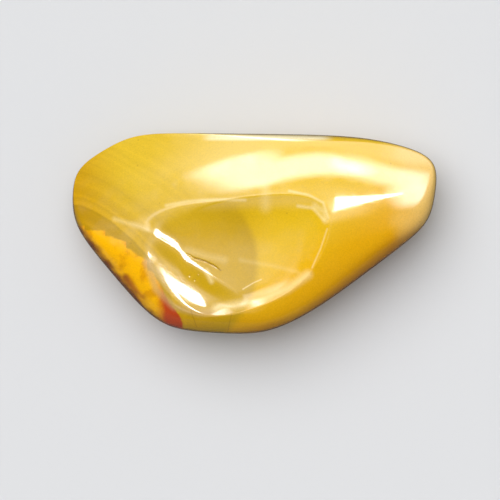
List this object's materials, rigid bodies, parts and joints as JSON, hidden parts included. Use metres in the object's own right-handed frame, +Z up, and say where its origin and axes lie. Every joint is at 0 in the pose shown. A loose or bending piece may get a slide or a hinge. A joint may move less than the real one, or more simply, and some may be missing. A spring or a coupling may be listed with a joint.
{
  "type": "polished mookaite jasper pebble",
  "caption": "Polished freeform pebble of mustard-yellow mookaite jasper with two shallow hollows in its upper face, resting on a small flat.",
  "frame": {"origin": "middle of the resting flat's plane, under the middle of the stone's bounding box", "axes": "+X along the stone's length towards its narrow end, +Y across it towards its straight long edge, +Z up from the resting flat"},
  "size_m": [0.034, 0.0188, 0.0091],
  "materials": {
    "stone": "polished"
  },
  "bodies": {
    "root": {"mookaite_stone": "stone"}
  },
  "joints": []
}
